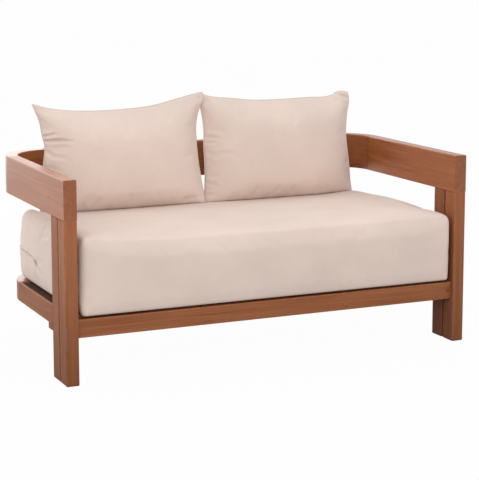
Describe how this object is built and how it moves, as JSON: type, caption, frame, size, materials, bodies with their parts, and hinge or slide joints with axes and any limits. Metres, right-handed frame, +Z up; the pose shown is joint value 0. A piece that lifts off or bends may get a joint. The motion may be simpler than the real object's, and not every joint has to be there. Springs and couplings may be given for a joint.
{
  "type": "patio loveseat",
  "caption": "Low outdoor loveseat with a hardwood frame, a rounded arm and back band on doubled posts, a deep bench cushion and loose back cushions.",
  "frame": {"origin": "on the floor, at the centre of the seat's footprint", "axes": "+X across the seat to the right as seen from the front, the front faces -Y, +Z up"},
  "size_m": [1.5, 0.82, 0.8621],
  "materials": {
    "hardwood": "oiled satin",
    "dowel_beech": "plain",
    "fixing_steel": "satin",
    "cushion_cloth": "woven outdoor cloth"
  },
  "bodies": {
    "frame": {"arm_post_dowels": "dowel_beech", "back_rail": "hardwood", "band_bolts": "fixing_steel", "band_dowels": "dowel_beech", "bolt_washers": "fixing_steel", "front_bearer": "hardwood", "front_leg_spacers": "hardwood", "front_rail": "hardwood", "left_aft_post": "hardwood", "left_arm": "hardwood", "left_arm_corner": "hardwood", "left_fore_post": "hardwood", "left_ledgers": "hardwood", "left_rear_inner_post": "hardwood", "left_rear_outer_post": "hardwood", "left_seat_corner": "hardwood", "left_side_rail": "hardwood", "middle_bearer": "hardwood", "rear_bearer": "hardwood", "rear_leg_spacers": "hardwood", "right_aft_post": "hardwood", "right_arm": "hardwood", "right_arm_corner": "hardwood", "right_fore_post": "hardwood", "right_ledgers": "hardwood", "right_rear_inner_post": "hardwood", "right_rear_outer_post": "hardwood", "right_seat_corner": "hardwood", "right_side_rail": "hardwood", "seat_back_rail": "hardwood", "seat_frame_bolts": "fixing_steel", "seat_frame_dowels": "dowel_beech", "seat_slats": "hardwood", "slat_screws": "fixing_steel"},
    "seat_cushion": {"seat_cushion": "cushion_cloth"},
    "left_back_cushion": {"left_back_cushion": "cushion_cloth"},
    "right_back_cushion": {"right_back_cushion": "cushion_cloth"}
  },
  "joints": [
    {"name": "seat_cushion_lift", "type": "slide", "parent": "frame", "child": "seat_cushion", "axis": [0, 0, 1], "range_m": [0, 0.05]},
    {"name": "left_back_cushion_lift", "type": "slide", "parent": "seat_cushion", "child": "left_back_cushion", "axis": [0, 0, 1], "range_m": [0, 0.25]},
    {"name": "right_back_cushion_lift", "type": "slide", "parent": "seat_cushion", "child": "right_back_cushion", "axis": [0, 0, 1], "range_m": [0, 0.25]}
  ]
}
